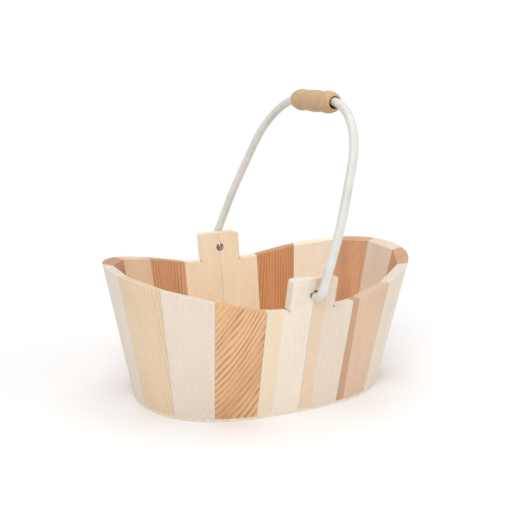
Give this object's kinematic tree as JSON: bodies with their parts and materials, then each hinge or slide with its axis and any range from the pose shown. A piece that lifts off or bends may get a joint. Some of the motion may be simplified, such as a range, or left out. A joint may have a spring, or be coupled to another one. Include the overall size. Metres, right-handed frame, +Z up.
{
  "type": "trug garden basket",
  "caption": "Oval tub of edge-glued wooden staves with a raised lug on each long side, and a swinging wire bail with a white sleeve and a spinning turned wooden grip.",
  "frame": {"origin": "middle of the underside of the base plate, where the tub stands", "axes": "+X along the long axis of the oval, towards the side the bail leans to; +Y across it, along the bail's pivot; +Z up"},
  "size_m": [0.3052, 0.2398, 0.2874],
  "materials": {
    "base_wood": "sanded, thin clear coat",
    "cream_wood": "sanded, thin clear coat",
    "tan_wood": "sanded, thin clear coat",
    "red_wood": "sanded, thin clear coat",
    "brown_wood": "sanded, thin clear coat",
    "steel_wire": "drawn, satin",
    "white_sleeve": "smooth, slight gloss",
    "grip_wood": "turned, thin clear coat"
  },
  "bodies": {
    "basket": {"base_plate": "base_wood", "lug_stave_front_left": "cream_wood", "lug_stave_front_right": "cream_wood", "lug_stave_back_left": "tan_wood", "lug_stave_back_right": "tan_wood", "side_stave_front_left": "brown_wood", "side_stave_front_right": "tan_wood", "side_stave_back_left": "red_wood", "side_stave_back_right": "brown_wood", "shoulder_stave_front_left": "cream_wood", "shoulder_stave_front_right": "cream_wood", "shoulder_stave_back_left": "tan_wood", "shoulder_stave_back_right": "cream_wood", "corner_stave_front_left": "tan_wood", "corner_stave_front_right": "red_wood", "corner_stave_back_left": "red_wood", "corner_stave_back_right": "red_wood", "end_stave_left": "cream_wood", "end_stave_right": "tan_wood"},
    "bail": {"bail_wire": "steel_wire", "bail_sleeve": "white_sleeve"},
    "grip": {"hand_grip": "grip_wood"}
  },
  "joints": [
    {"name": "bail_swing", "type": "hinge", "parent": "basket", "child": "bail", "pos_m": [0, 0, 0.1165], "axis": [0, 1, 0], "range_deg": [-141, 102]},
    {"name": "grip_spin", "type": "hinge", "parent": "bail", "child": "grip", "pos_m": [0.0565, 0, 0.27694], "axis": [0, 1, 0], "continuous": true}
  ]
}
